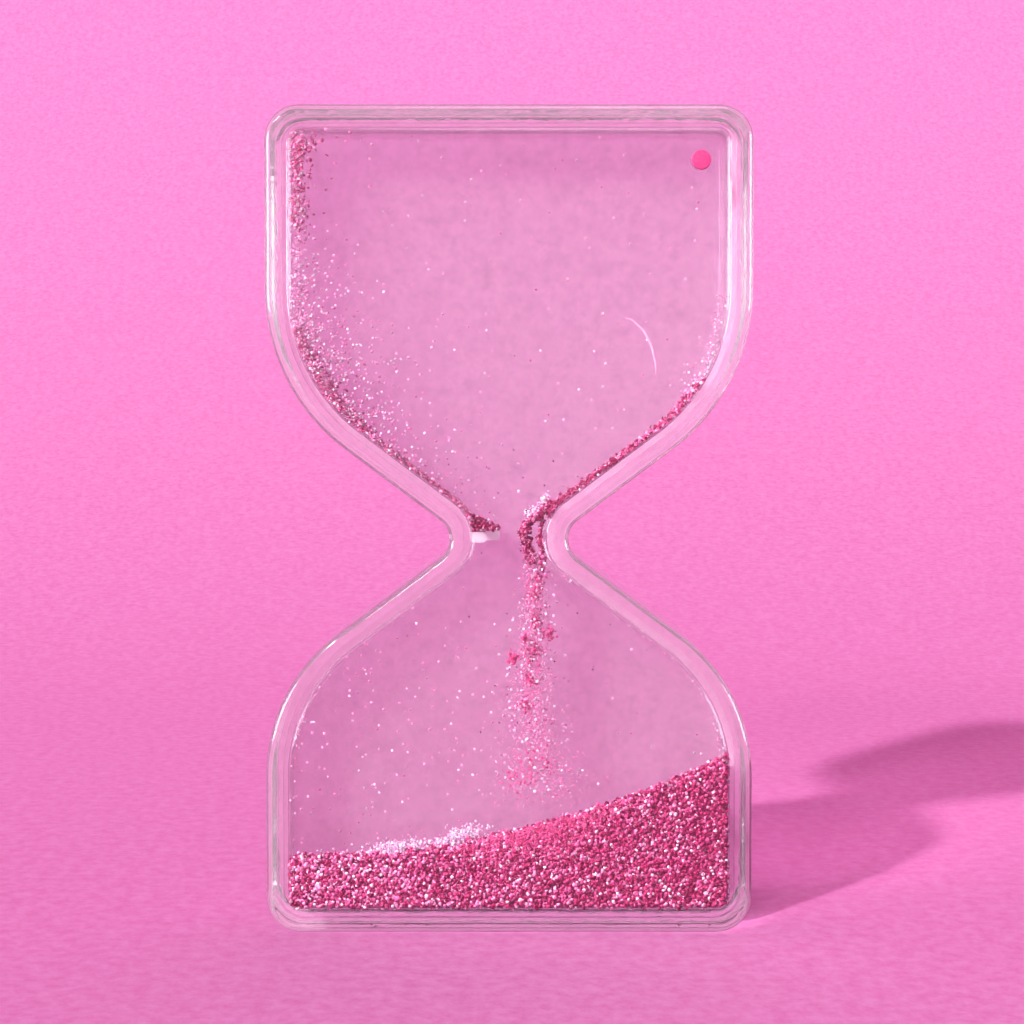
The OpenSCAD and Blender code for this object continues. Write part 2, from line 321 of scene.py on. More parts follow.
frontLook = {
    "colour": (0.965, 0.955, 0.965), "cloudColour": (0.94, 0.93, 0.94), "clear": 1.0, "ior": 1.49,
    "smooth": 0.0, "rubbed": 0.05, "waveScale": 160, "rubScale": 1500, "rubShare": 0.05,
    "bumpStrength": 0.12, "bumpDistance": 0.0003, "shadowColour": (0.96, 0.93, 0.95),
}
backLook = {
    "colour": (0.97, 0.965, 0.975), "cloudColour": (0.84, 0.84, 0.86), "clear": 0.92, "ior": 1.49,
    "smooth": 0.02, "rubbed": 0.12, "waveScale": 700, "rubScale": 1100, "rubShare": 0.4,
    "bumpStrength": 0.25, "bumpDistance": 0.0003, "shadowColour": (0.38, 0.25, 0.33),
}
liquidLook = {
    "colour": (0.885, 0.885, 0.90), "cloudColour": (0.79, 0.78, 0.81), "clear": 1.0, "ior": 1.35,
    "smooth": 0.0, "rubbed": 0.02, "waveScale": 300, "rubScale": 600, "rubShare": 0.3,
    "bumpStrength": 0.08, "bumpDistance": 0.0002, "shadowColour": (0.96, 0.93, 0.95),
}
weldLook = {
    "colour": (0.955, 0.91, 0.945), "cloudColour": (0.91, 0.83, 0.88), "clear": 0.9, "ior": 1.49,
    "smooth": 0.03, "rubbed": 0.1, "waveScale": 500, "rubScale": 2200, "rubShare": 0.5,
    "bumpStrength": 0.25, "bumpDistance": 0.0001, "shadowColour": (0.8, 0.7, 0.76),
}
ribPlasticLook = {
    "colour": (0.97, 0.93, 0.96), "cloudColour": (0.90, 0.84, 0.88), "clear": 0.9, "ior": 1.49,
    "smooth": 0.06, "rubbed": 0.14, "waveScale": 500, "rubScale": 2200, "rubShare": 0.5,
    "bumpStrength": 0.25, "bumpDistance": 0.0001, "shadowColour": (0.8, 0.72, 0.77),
}
frontPlastic = clearMaterial("frontPlastic", frontLook)
weldPlastic = clearMaterial("weldPlastic", weldLook)
ribPlastic = clearMaterial("ribPlastic", ribPlasticLook)
# a milkier copy of the rib plastic for the back rib: painted light that keeps it bright where the glitter pile above
# shades it
backRibPaintedLightPlastic = clearMaterial("backRibPaintedLightPlastic", {**ribPlasticLook, "clear": 0.5})
backPlastic = clearMaterial("backPlastic", backLook)
clearLiquid = clearMaterial("clearLiquid", liquidLook)

# share and colour (linear) of each kind of flake; pickColours gives every flake the same small brightness spread
flakeKinds = {
    "deep": (0.24, (0.22, 0.003, 0.045)),
    "dark": (0.25, (0.36, 0.013, 0.09)),
    "rose": (0.25, (0.49, 0.04, 0.155)),
    "pink": (0.14, (0.66, 0.115, 0.29)),
    "blush": (0.08, (0.84, 0.32, 0.52)),
    "pearl": (0.04, (0.98, 0.74, 0.88)),
}
lightKinds = {
    "rose": (0.22, (0.62, 0.09, 0.26)),
    "pink": (0.33, (0.78, 0.18, 0.42)),
    "blush": (0.30, (0.92, 0.34, 0.60)),
    "pearl": (0.15, (0.98, 0.66, 0.86)),
}
paleKinds = {
    "blush": (0.25, (0.85, 0.36, 0.62)),
    "lilac": (0.45, (0.90, 0.60, 0.86)),
    "pearl": (0.30, (1.00, 0.85, 0.97)),
}
layerKinds = {
    "dark": (0.05, (0.56, 0.04, 0.16)),
    "rose": (0.28, (0.82, 0.13, 0.33)),
    "pink": (0.35, (0.92, 0.26, 0.50)),
    "blush": (0.24, (0.97, 0.46, 0.68)),
    "pearl": (0.08, (1.0, 0.78, 0.90)),
}
dustKinds = {
    "rose": (0.35, (0.84, 0.15, 0.40)),
    "pink": (0.4, (0.90, 0.24, 0.52)),
    "blush": (0.25, (0.97, 0.42, 0.70)),
}
clumpKinds = {
    "rose": (0.5, (0.74, 0.085, 0.27)),
    "pink": (0.5, (0.86, 0.15, 0.38)),
}
fleckKinds = {
    "pink": (0.25, (0.86, 0.26, 0.50)),
    "blush": (0.35, (0.93, 0.46, 0.70)),
    "pearl": (0.40, (0.97, 0.76, 0.92)),
}


def flakeMaterial(name, metallic, roughness, sheen):
    # each flake carries its own colour; a fine noise breaks up its sheen
    material, nodes, links, shader = newMaterial(name)
    own = nodes.new("ShaderNodeAttribute")
    own.attribute_name = "flakeColour"
    place = nodes.new("ShaderNodeTexCoord")
    grain = nodes.new("ShaderNodeTexNoise")
    grain.inputs["Scale"].default_value = 2600
    links.new(place.outputs["Object"], grain.inputs["Vector"])
    vary = nodes.new("ShaderNodeMapRange")
    vary.inputs["To Min"].default_value = 0.75
    vary.inputs["To Max"].default_value = 1.25
    links.new(grain.outputs["Fac"], vary.inputs["Value"])
    shade = nodes.new("ShaderNodeVectorMath")
    shade.operation = "SCALE"
    links.new(own.outputs["Color"], shade.inputs[0])
    links.new(vary.outputs["Result"], shade.inputs["Scale"])
    links.new(shade.outputs[0], shader.inputs["Base Color"])
    shader.inputs["Metallic"].default_value = metallic
    shader.inputs["Specular IOR Level"].default_value = sheen
    rough = nodes.new("ShaderNodeMapRange")
    rough.inputs["To Min"].default_value = roughness - 0.1
    rough.inputs["To Max"].default_value = roughness + 0.15
    links.new(grain.outputs["Fac"], rough.inputs["Value"])
    links.new(rough.outputs["Result"], shader.inputs["Roughness"])
    return material


pinkFlakes = flakeMaterial("pinkFlakes", 0.15, 0.42, 0.2)
paleFlakes = flakeMaterial("paleFlakes", 0.1, 0.4, 0.3)


def stopperMaterial():
    # dyed soft plastic with a faint grain and slightly lighter rubbed spots
    material, nodes, links, shader = newMaterial("stopperPlastic")
    surface = nodes.new("ShaderNodeGroup")
    surface.node_tree = mouldedSurface
    surface.inputs["Wave Scale"].default_value = 700
    surface.inputs["Rub Scale"].default_value = 4000
    surface.inputs["Rub Share"].default_value = 0.5
    tone = nodes.new("ShaderNodeMix")
    tone.data_type = "RGBA"
    tone.inputs["A"].default_value = (0.92, 0.075, 0.3, 1)
    tone.inputs["B"].default_value = (0.95, 0.14, 0.38, 1)
    links.new(surface.outputs["Rubbed"], tone.inputs["Factor"])
    links.new(tone.outputs["Result"], shader.inputs["Base Color"])
    bump = nodes.new("ShaderNodeBump")
    bump.inputs["Strength"].default_value = 0.2
    bump.inputs["Distance"].default_value = 0.00005
    links.new(surface.outputs["Height"], bump.inputs["Height"])
    links.new(bump.outputs["Normal"], shader.inputs["Normal"])
    shader.inputs["Roughness"].default_value = 0.45
    shader.inputs["Subsurface Weight"].default_value = 0.15
    shader.inputs["Subsurface Scale"].default_value = 0.0005
    return material


stopperPlastic = stopperMaterial()


# ---------------------------------------------------------------- shells
def shellProfile(shape, frontward):
    # from the outer panel round the rounded edge to the rim, then in along the cavity to the inner panel
    sign = -1 if frontward else 1
    face = shape["frontY"] if frontward else shape["backY"]
    inner = shape["cavityFrontY"] if frontward else shape["cavityBackY"]
    rim = shape["seamY"] + sign * shape["weldGap"] / 2
    r, e, c, wall = shape["edgeRadius"], shape["rimRadius"], shape["cavityRadius"], shape["wall"]
    def corner(centre, radius, start, end):
        return [(x, centre[1] + (y - centre[1]) * -sign) for x, y in roundCorner(centre, radius, start, end)]
    profile = [(r + 0.2 * mm, face)]
    profile += corner((r, face - sign * r), r, 270, 180)
    profile += corner((e, rim + sign * e), e, 180, 90)
    # the groove goes into the front shell, the tongue stands out of the back one
    gap = 0.0 if frontward else shape["tongueGap"]
    half, depth = shape["grooveWidth"] / 2 - gap, shape["grooveDepth"] - gap
    profile += [(wall / 2 - half, rim), (wall / 2 - half, rim - depth)]
    profile += [(wall / 2 + half, rim - depth), (wall / 2 + half, rim)]
    profile += corner((wall - e, rim + sign * e), e, 90, 0)
    profile += corner((wall + c, inner - sign * c), c, 180, 270)
    profile += [(wall + c + 0.2 * mm, inner)]
    return profile


def ribBar(shape, reach, y0, y1, low, high):
    # a bar with a rounded rectangle section, closed at both ends by shrinking the section to a point
    a = np.linspace(0, 2 * math.pi, 40, endpoint=False)
    left = -(shape["neckHalf"] - shape["wall"]) - 0.9 * mm
    right = -(shape["neckHalf"] - shape["wall"]) + reach
    cx, cz, hx, hz = (left + right) / 2, (low + high) / 2, (right - left) / 2, (high - low) / 2
    squared = 0.25
    x = cx + hx * np.sign(np.cos(a)) * np.abs(np.cos(a)) ** squared
    z = cz + hz * np.sign(np.sin(a)) * np.abs(np.sin(a)) ** squared
    rings = []
    for y, size in ((y0, 0.0), (y0, 1.0), (y1, 1.0), (y1, 0.0)):
        rings.append(np.stack([cx + (x - cx) * size, np.full(len(a), y), cz + (z - cz) * size], 1))
    grid = np.stack(rings)
    return grid, gridQuads(4, len(a), wrap=True)


ribLook = {
    "top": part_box("rib_glitter")[0].z,
    "thickness": 1.1 * mm,
    "frontReach": 1.5 * mm,
    "backReach": 2.95 * mm,
}
fillHole = {
    "centre": ((plugLow.x + plugHigh.x) / 2, (plugLow.z + plugHigh.z) / 2),
    "plugRadius": (plugHigh.x - plugLow.x) / 2,
    "gap": 0.03 * mm,
    "ringRadius": 1.45 * mm,
    "ringDepth": 0.25 * mm,
}


gateMark = {"x": -13.4 * mm, "y": -4.0 * mm, "radius": 0.75 * mm, "depth": 0.2 * mm}


def gateTool(mark, z, inwards):
    # a shallow dish where the plastic came in: a circle's cap turned round the Z direction
    steps = [(0, -0.6), (1.0, -0.6), (1.0, 0.0), (0.8, 0.45), (0.45, 0.85), (0, 1.0)]
    a = np.linspace(0, 2 * math.pi, 32, endpoint=False)
    r, h = np.array(steps).T
    r, h = r * mark["radius"], z + inwards * h * mark["depth"]
    grid = np.stack([mark["x"] + r[:, None] * np.cos(a), mark["y"] + r[:, None] * np.sin(a),
                     np.repeat(h[:, None], len(a), 1)], -1)
    return meshPiece("gateTool", [(grid, gridQuads(len(steps), len(a), wrap=True))], ribPlastic)


def buildShell(name, frontward):
    shape, plastic = caseShape, frontPlastic if frontward else backPlastic
    profile = shellProfile(shape, frontward)
    parts = [sweepProfile(profile), flatPanel(*profile[0]), flatPanel(*profile[-1])]
    piece = meshPiece(name, parts, plastic)
    piece.data.materials.append(weldPlastic)
    middles = np.empty(len(piece.data.polygons) * 3)
    piece.data.polygons.foreach_get("center", middles)
    welded = np.abs(middles[1::3] - shape["seamY"]) < shape["weldReach"]
    piece.data.polygons.foreach_set("material_index", welded.astype(np.int32))
    inner = shape["cavityFrontY"] if frontward else shape["cavityBackY"]
    seam = shape["seamY"] + (-1 if frontward else 1) * shape["weldGap"] / 2
    y0, y1 = sorted((inner + (-0.3 if frontward else 0.3) * mm, seam))
    reach = ribLook["frontReach"] if frontward else ribLook["backReach"]
    low = ribLook["top"] - ribLook["thickness"]
    # the back rib takes the milkier copy, painted light on its shaded half
    rib = meshPiece("ribTool", [ribBar(shape, reach, y0, y1, low, ribLook["top"])],
                    ribPlastic if frontward else backRibPaintedLightPlastic)
    carve(piece, rib, "UNION")
    if frontward:
        r = fillHole["plugRadius"] + fillHole["gap"]
        out, floor = shape["frontY"] - 1 * mm, shape["frontY"] + fillHole["ringDepth"]
        past = shape["cavityFrontY"] + 1 * mm
        ring = fillHole["ringRadius"]
        steps = [(0, out), (ring, out), (ring, floor), (r, floor), (r, past), (0, past)]
        hole = meshPiece("holeTool", [lathePart(steps, fillHole["centre"], 64)], plastic)
        carve(piece, hole, "DIFFERENCE")
        for z, inwards in ((shape["height"], -1), (0.0, 1)):
            carve(piece, gateTool(gateMark, z, inwards), "DIFFERENCE")
    return piece


frontShell = buildShell("frontShell", True)
backShell = buildShell("backShell", False)
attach(frontShell, "timer")
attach(backShell, "timer")
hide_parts("front_shell")
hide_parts("back_shell")
print("shells", len(frontShell.data.polygons), len(backShell.data.polygons))

# ---------------------------------------------------------------- liquid
liquidShape = {
    "overlap": 0.03 * mm,  # reaches this far into the walls, so that light goes straight from one to the other
    "corner": 0.55 * mm,
}


def buildLiquid(shape, liquid):
    w = shape["wall"] - liquid["overlap"]
    y0, y1 = shape["cavityFrontY"] - liquid["overlap"], shape["cavityBackY"] + liquid["overlap"]
    c = liquid["corner"]
    profile = [(w + c + 0.2 * mm, y0)] + roundCorner((w + c, y0 + c), c, 270, 180)
    profile += roundCorner((w + c, y1 - c), c, 180, 90) + [(w + c + 0.2 * mm, y1)]
    return meshPiece("liquidFill", [sweepProfile(profile), flatPanel(*profile[0]), flatPanel(*profile[-1])],
                     clearLiquid)


liquidFill = buildLiquid(caseShape, liquidShape)
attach(liquidFill, "timer")
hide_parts("clear_liquid")
print("liquid", len(liquidFill.data.polygons))

# ---------------------------------------------------------------- stopper
stopperShape = {
    "edge": 0.12 * mm,    # rounding round the face
    "crown": 0.05 * mm,   # how far the face domes
    "dimple": 0.22 * mm,  # radius of the small mark in the middle
}


def buildStopper(shape, hole):
    # a domed disc on a straight shank, turned round the hole's axis
    r, e = hole["plugRadius"], shape["edge"]
    y0, y1 = plugLow.y, plugHigh.y
    flat = r - e
    dome = [(t * flat, y0 + shape["crown"] * (1 - math.cos(t * math.pi / 2)) * 1.0)
            for t in np.linspace(0, 1, 9)]
    foot = dome[-1][1]
    edge = [(flat + e * math.sin(a), foot + e * (1 - math.cos(a))) for a in np.linspace(0, math.pi / 2, 7)[1:]]
    shank = [(r, y1 - e)] + [(flat + e * math.cos(a), y1 - e + e * math.sin(a))
                             for a in np.linspace(0, math.pi / 2, 6)[1:]]
    profile = dome + edge + shank + [(0, y1)]
    return meshPiece("stopper", [lathePart(profile, hole["centre"], 48)], stopperPlastic)


stopper = buildStopper(stopperShape, fillHole)
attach(stopper, "stopper")
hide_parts("fill_plug")

# ---------------------------------------------------------------- glitter
flakeShape = {"across": 0.40 * mm, "spread": 0.12, "thick": 0.035 * mm}


def pickColours(random, count, kinds, lighter=None):
    # a kind for each flake by its share, then a little brightness either way;
    # lighter is each flake's chance of being one of the light kinds instead
    def pick(table):
        shares = np.array([share for share, _ in table.values()])
        tones = np.array([tone for _, tone in table.values()])
        return tones[random.choice(len(tones), count, p=shares / shares.sum())]
    picked = pick(kinds)
    if lighter is not None:
        picked = np.where(random.uniform(0, 1, (count, 1)) < lighter[:, None], pick(lightKinds), picked)
    return np.clip(picked * random.normal(1, 0.12, (count, 1)), 0.002, 1)


def flakePiece(name, random, centres, material, kinds, size=1.0, flatten=0.0, lighter=None):
    # hexagonal plates: six corners round each centre in a random plane, once on each face of the plate;
    # flatten turns the planes to lie along the panels
    n = len(centres)
    facing = random.normal(0, 1, (n, 3))
    facing /= np.linalg.norm(facing, axis=1)[:, None]
    facing[:, 1] += 3 * flatten * np.sign(facing[:, 1])
    facing /= np.linalg.norm(facing, axis=1)[:, None]
    side = np.cross(facing, random.normal(0, 1, (n, 3)))
    side /= np.linalg.norm(side, axis=1)[:, None]
    other = np.cross(facing, side)
    radius = flakeShape["across"] / math.sqrt(3) * size * np.clip(random.normal(1, flakeShape["spread"], n), 0.6, 1.4)
    a = np.arange(6) * math.pi / 3
    rim = (side[:, None] * np.cos(a)[None, :, None] + other[:, None] * np.sin(a)[None, :, None])
    rim = centres[:, None] + rim * radius[:, None, None]
    half = facing[:, None] * flakeShape["thick"] / 2
    points = np.concatenate([rim + half, rim - half], 1).reshape(-1, 3)
    k = np.arange(6)
    sides = np.stack([k, k + 6, (k + 1) % 6 + 6, (k + 1) % 6], 1).ravel()
    corners = np.concatenate([k, k[::-1] + 6, sides])
    loops = (corners[None, :] + 12 * np.arange(n)[:, None]).ravel()
    counts = np.tile([6, 6] + [4] * 6, n)
    mesh = bpy.data.meshes.new(name)
    mesh.vertices.add(len(points))
    mesh.vertices.foreach_set("co", points.ravel())
    mesh.loops.add(len(loops))
    mesh.loops.foreach_set("vertex_index", loops.astype(np.int32))
    mesh.polygons.add(len(counts))
    mesh.polygons.foreach_set("loop_start", np.concatenate([[0], np.cumsum(counts)[:-1]]).astype(np.int32))
    mesh.update(calc_edges=True)
    colours = pickColours(random, n, kinds, lighter)
    own = mesh.color_attributes.new("flakeColour", "FLOAT_COLOR", "POINT")
    four = np.ones((n * 12, 4), np.float32)
    four[:, :3] = np.repeat(colours, 12, 0)
    own.data.foreach_set("color", four.ravel())
    mesh.materials.append(material)
    mesh.validate()
    piece = bpy.data.objects.new(name, mesh)
    scene.collection.objects.link(piece)
    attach(piece, "timer")
    return piece


settled = {
    "low": 8.0 * mm, "high": bedHigh.z, "bend": 2.1,
    "backDrop": 1.9 * mm,     # the surface lies this much lower at the back
    "coreInset": 0.32 * mm,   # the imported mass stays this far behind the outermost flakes
    "frontFlakes": 14000, "backFlakes": 9000, "topFlakes": 8000, "endFlakes": 3500, "baseFlakes": 3500,
    "fineFlakes": 3200,       # freshly fallen dust below the stream
}
wallX = caseShape["halfWidth"] - caseShape["wall"]


def bedSurface(x, y):
    # the ramp that the CAD bed has, a little lower at the back, with small humps left by the falling flakes
    t = np.clip((x + wallX) / (2 * wallX), 0, 1)
    ramp = settled["low"] + (settled["high"] - settled["low"]) * t ** settled["bend"]
    humps = 0.22 * np.sin(x * 1900 + y * 700) + 0.16 * np.sin(x * 3300 - y * 1500 + 1.3)
    humps += 0.12 * np.sin(x * 5200 + y * 2900 + 0.4)
    back = (y - caseShape["cavityFrontY"]) / (caseShape["cavityBackY"] - caseShape["cavityFrontY"])
    return ramp + (humps - 0.5) * mm - settled["backDrop"] * back


def buildBedCore(shape, bed):
    # columns from the cavity's floor to the settled surface, as one closed block
    inset = shape["wall"] + bed["coreInset"]
    side = sidePoints - inset * sideNormals
    y0, y1 = shape["cavityFrontY"] + bed["coreInset"], shape["cavityBackY"] - bed["coreInset"]
    nx, ny, nz = 90, 16, 10
    u = np.linspace(-1, 1, nx)
    x = u * (side[:, 0][side[:, 1] < 10 * mm].max() - 1e-6)
    cornerRows = side[side[:, 1] < 10 * mm]
    floor = np.interp(np.abs(x), cornerRows[:, 0], cornerRows[:, 1])
    y = np.linspace(y0, y1, ny)
    gx, gy = np.meshgrid(x, y, indexing="ij")
    top = bedSurface(gx, gy) - bed["coreInset"]
    t = np.linspace(0, 1, nz)
    low = np.repeat(floor[:, None], ny, 1)
    def sheet(a, b, c):
        return np.stack([a, b, c], -1)
    parts = []
    for grid in (sheet(gx, gy, top), sheet(gx, gy, low)):
        parts.append((grid, gridQuads(nx, ny)))
    for j in (0, ny - 1):
        z = low[:, j][:, None] + (top[:, j] - low[:, j])[:, None] * t
        parts.append((sheet(np.repeat(x[:, None], nz, 1), np.full((nx, nz), y[j]), z), gridQuads(nx, nz)))
    for i in (0, nx - 1):
        z = low[i][:, None] + (top[i] - low[i])[:, None] * t
        parts.append((sheet(np.full((ny, nz), x[i]), np.repeat(y[:, None], nz, 1), z), gridQuads(ny, nz)))
    return meshPiece("bedCore", parts, packedGlitterAndShade)


def packedShadeMaterial():
    # the mass between the flakes: cells of flake size in deep pinks, kept darker than the flakes as painted shade in
    # the gaps between them
    material, nodes, links, shader = newMaterial("packedGlitterAndShade")
    place = nodes.new("ShaderNodeTexCoord")
    cells = nodes.new("ShaderNodeTexVoronoi")
    cells.inputs["Scale"].default_value = 2600
    links.new(place.outputs["Object"], cells.inputs["Vector"])
    apart = nodes.new("ShaderNodeSeparateColor")
    links.new(cells.outputs["Color"], apart.inputs["Color"])
    ramp = nodes.new("ShaderNodeValToRGB")
    ramp.color_ramp.interpolation = "CONSTANT"
    stops = [(0.0, (0.20, 0.008, 0.05)), (0.35, (0.33, 0.025, 0.10)), (0.65, (0.5, 0.06, 0.2)),
             (0.85, (0.7, 0.15, 0.34)), (0.96, (0.92, 0.42, 0.62))]
    for i, (at, tone) in enumerate(stops):
        stop = ramp.color_ramp.elements[i] if i < 2 else ramp.color_ramp.elements.new(at)
        stop.position, stop.color = at, (*tone, 1)
    links.new(apart.outputs["Red"], ramp.inputs["Fac"])
    links.new(ramp.outputs["Color"], shader.inputs["Base Color"])
    bump = nodes.new("ShaderNodeBump")
    bump.inputs["Distance"].default_value = 0.0002
    links.new(cells.outputs["Distance"], bump.inputs["Height"])
    links.new(bump.outputs["Normal"], shader.inputs["Normal"])
    shader.inputs["Roughness"].default_value = 0.5
    shader.inputs["Metallic"].default_value = 0.3
    return material


packedGlitterAndShade = packedShadeMaterial()
bedCore = buildBedCore(caseShape, settled)
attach(bedCore, "timer")


def insideCavity(x, z, keep):
    return insideDistance(x, z, caseShape["wall"]) > keep


def scatterBed(random, count, pickY):
    # even over the bed's front outline, then dropped where it leaves the cavity or the settled mass
    x = random.uniform(-wallX, wallX, count * 3)
    z = random.uniform(caseShape["wall"], settled["high"] + 1 * mm, count * 3)
    y = pickY(len(x))
    good = (z < bedSurface(x, y)) & insideCavity(x, z, 0.3 * mm)
    keep = np.flatnonzero(good)[:count]
    return np.stack([x[keep], y[keep], z[keep]], 1)


def buildBedFlakes():
    random = np.random.default_rng(11)
    front, back = caseShape["cavityFrontY"], caseShape["cavityBackY"]
    faces = {}
    # the flakes behind the front panel lie in two layers, a piece each
    half = settled["frontFlakes"] // 2
    faces["bedFlakesFrontOuter"] = scatterBed(random, half,
                                              lambda n: front + random.uniform(0.06, 0.21, n) * mm)
    faces["bedFlakesFrontInner"] = scatterBed(random, half,
                                              lambda n: front + random.uniform(0.21, 0.36, n) * mm)
    faces["bedFlakesBack"] = scatterBed(random, settled["backFlakes"],
                                        lambda n: back - random.uniform(0.06, 0.56, n) * mm)
    n = settled["topFlakes"]
    x, y = random.uniform(-wallX, wallX, n), random.uniform(front + 0.15 * mm, back - 0.15 * mm, n)
    z = bedSurface(x, y) + random.normal(-0.12, 0.16, n) * mm
    good = insideCavity(x, z, 0.12 * mm)
    faces["bedFlakesTop"] = np.stack([x, y, z], 1)[good]
    n = settled["endFlakes"]
    end = random.choice([-1, 1], n)
    x = end * (wallX - random.uniform(0.1, 0.5, n) * mm)
    y = random.uniform(front + 0.1 * mm, back - 0.1 * mm, n)
    z = random.uniform(0, 1, n) * bedSurface(x, y)
    good = insideCavity(x, z, 0.08 * mm)
    ends = np.stack([x, y, z], 1)[good]
    n = settled["baseFlakes"]
    x, y = random.uniform(-wallX, wallX, n), random.uniform(front + 0.1 * mm, back - 0.1 * mm, n)
    z = caseShape["wall"] + random.uniform(0.08, 0.5, n) * mm
    good = insideCavity(x, z, 0.06 * mm)
    faces["bedFlakesEnds"] = np.concatenate([ends, np.stack([x, y, z], 1)[good]])
    made = []
    for name, centres in faces.items():
        onPanel = name.startswith(("bedFlakesFront", "bedFlakesBack"))
        depth = (bedSurface(centres[:, 0], centres[:, 1]) - centres[:, 2]) / mm
        lighter = np.clip(0.12 - centres[:, 0] / wallX * 0.18, 0, 1) + 0.2 * np.exp(-depth / 1.0)
        piece = flakePiece(name, random, centres, pinkFlakes, flakeKinds, size=0.84 if onPanel else 0.95,
                           flatten=0.8 if onPanel else 0.1, lighter=lighter)
        made.append(piece)
    n = settled["fineFlakes"]
    x = random.normal(3.5, 4.6, n) * mm
    y = front + random.uniform(0.04, 0.3, n) * mm
    z = bedSurface(x, y) + (0.35 - random.gamma(1.6, 0.9, n)) * mm
    good = insideCavity(x, z, 0.3 * mm)
    fine = flakePiece("bedFlakesFine", random, np.stack([x, y, z], 1)[good], pinkFlakes, clumpKinds, size=0.5)
    return made + [fine]


bedPieces = buildBedFlakes()
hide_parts("glitter_bed")
print("bed flakes", sum(len(p.data.polygons) for p in bedPieces) // 8)

# ---------------------------------------------------------------- stream
streamLook = {
    # x from the middle, height above the base and half width, all in mm
    "smear": [(4.4, 44.0, 0.5), (3.6, 43.4, 0.5), (2.7, 42.6, 0.5), (1.8, 41.9, 0.45), (1.5, 41.0, 0.4),
              (1.8, 39.7, 0.5), (2.3, 38.2, 0.8), (2.7, 35.5, 1.2), (2.7, 31.5, 1.5), (2.4, 27.5, 1.6),
              (2.2, 24.0, 2.1), (2.9, 19.5, 3.4), (3.6, 15.5, 4.4), (3.8, 13.0, 5.0)],
    "flecks": [(2.2, 38.6, 0.9), (2.7, 36.0, 1.5), (2.7, 32.0, 1.9), (2.4, 28.0, 2.2), (2.2, 24.0, 2.8),
               (2.6, 20.5, 3.8), (3.0, 18.0, 4.4), (3.4, 14.0, 5.0)],
    "strand": [(3.6, 42.6, 0.5), (3.3, 41.2, 0.35), (3.5, 39.4, 0.4), (3.6, 38.0, 0.5), (3.5, 36.4, 0.6)],
    "throat": [(4.7, 44.3, 0.55), (3.7, 43.3, 0.65), (2.7, 42.5, 0.6), (1.8, 41.9, 0.5), (1.5, 41.0, 0.5),
               (1.9, 39.7, 0.45), (2.4, 38.4, 0.5), (2.6, 37.8, 0.4)],
    "smearCount": 3000, "fleckCount": 640, "strandCount": 110, "throatCount": 560,
    # clumps that fall together: x, height and half width in mm
    "clumps": [(2.7, 34.7, 0.6), (2.8, 31.8, 0.5), (2.4, 28.5, 1.0), (0.5, 27.8, 0.5), (2.2, 25.6, 0.55),
               (4.3, 30.4, 0.6), (1.8, 23.0, 0.6), (3.2, 36.2, 0.4), (1.6, 29.9, 0.4), (2.9, 17.0, 1.6), (1.0, 15.2, 1.4)],
    "clumpCount": 60,
    "depth": 0.8,  # half depth as a share of the half width
}


def alongPath(random, path, count, centreY, depth):
    # a place along the path by length, then a normal spread across it as wide as the path says
    path = np.array(path) * mm
    lengths = np.r_[0, np.cumsum(np.hypot(*np.diff(path[:, :2], axis=0).T))]
    s = random.uniform(0, lengths[-1], count)
    x, z, half = (np.interp(s, lengths, path[:, i]) for i in range(3))
    off = random.normal(0, 0.5, (3, count))
    return np.stack([x + off[0] * half, centreY + off[1] * half * depth, z + off[2] * 0.35 * half], 1)


def withinCavity(centres, keep=0.2 * mm):
    y0, y1 = caseShape["cavityFrontY"] + keep, caseShape["cavityBackY"] - keep
    good = insideCavity(centres[:, 0], centres[:, 2], keep)
    return centres[good & (centres[:, 1] > y0) & (centres[:, 1] < y1)]


def buildStream(look):
    # a fine pink smear with pale flecks and falling clumps in it, below a dense dark throat
    random = np.random.default_rng(23)
    y = -1.0 * mm

    def run(path, count):
        return withinCavity(alongPath(random, look[path], look[count], y, look["depth"]))
    dust = flakePiece("streamDust", random, run("smear", "smearCount"), paleFlakes, dustKinds, size=0.36)
    flecks = flakePiece("streamFlakes", random, run("flecks", "fleckCount"), paleFlakes, fleckKinds, size=0.66)
    dark = flakePiece("throatFlakes", random, np.concatenate([run("throat", "throatCount"),
                                                              run("strand", "strandCount")]), pinkFlakes, flakeKinds)
    falling = []
    for x, z, half in look["clumps"]:
        off = random.normal(0, 0.5, (3, look["clumpCount"])) * half * mm
        falling.append(np.stack([x * mm + off[0], y + off[1], z * mm + off[2] * 1.3], 1))
    clumps = flakePiece("streamClumps", random, withinCavity(np.concatenate(falling)), pinkFlakes, clumpKinds, size=0.7)
    made = (dust, flecks, dark, clumps)
    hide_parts("glitter_stream")
    return made


streamPieces = buildStream(streamLook)

# ---------------------------------------------------------------- layers on the slopes and in the corner
slopeLook = {
    # height above the base and thickness there, in mm
    "left": {"layer": [(42.3, 0.3), (44.0, 0.1), (49.0, 0.25), (53.0, 1.0), (57.0, 1.1), (62.5, 0.3)], "flakes": 1500},
    "right": {"layer": [(42.6, 0.5), (46.0, 0.32), (52.0, 0.34), (57.0, 0.25)], "flakes": 1600},
}


def alongWall(random, side, layer, count, tail=0.0):
    # a place on the cavity's wall by the layer's heights, then inwards along its normal by a share of its thickness
    wall = sidePoints - caseShape["wall"] * sideNormals
    heights, thicks = np.array(layer).T
    z = random.uniform(heights[0], heights[-1], count)
    thick = np.interp(z, heights, thicks)
    z = z * mm
    x = np.interp(z, wall[:, 1], wall[:, 0])
    nx = np.interp(z, wall[:, 1], sideNormals[:, 0])
    nz = np.interp(z, wall[:, 1], sideNormals[:, 1])
    away = (0.16 + np.abs(random.normal(0, 0.5, count)) * thick + random.exponential(1, count) * tail) * mm
    y0, y1 = caseShape["cavityFrontY"] + 0.15 * mm, caseShape["cavityBackY"] - 0.15 * mm
    y = random.uniform(y0, y1, count)
    return withinCavity(np.stack([side * (x - away * nx), y, z - away * nz], 1), 0.1 * mm)


